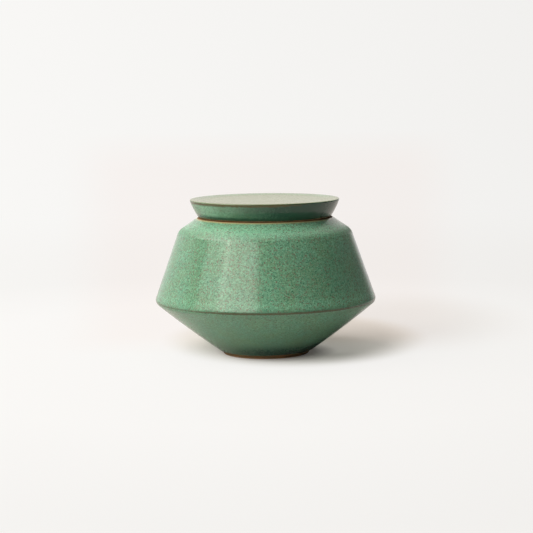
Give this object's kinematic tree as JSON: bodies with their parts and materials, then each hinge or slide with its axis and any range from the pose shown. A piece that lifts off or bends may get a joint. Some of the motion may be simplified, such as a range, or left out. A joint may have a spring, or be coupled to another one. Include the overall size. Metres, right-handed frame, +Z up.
{
  "type": "lidded stoneware jar",
  "caption": "Squat ridged double-cone stoneware jar with a flat tapered lift-off lid that drops into its mouth, for dry food or small things, in speckled green satin glaze.",
  "frame": {"origin": "centre of the foot, on the surface the jar stands on", "axes": "+Z up along the axis of the jar and the lid; the jar is round, so X and Y are free, and the picture looks along +Y"},
  "size_m": [0.17, 0.17, 0.1196],
  "materials": {
    "body_glaze": "satin green glaze with fine iron specks over stoneware, bare brown clay at the foot and the mouth rim",
    "lid_glaze": "satin green glaze with fine iron specks over stoneware, breaking to olive brown at the edge, bare brown clay at the seat"
  },
  "bodies": {
    "jar": {"jar_body": "body_glaze"},
    "lid": {"lid": "lid_glaze"}
  },
  "joints": [
    {"name": "lid_lift", "type": "slide", "parent": "jar", "child": "lid", "axis": [0, 0, 1], "range_m": [0, 0.08]}
  ]
}
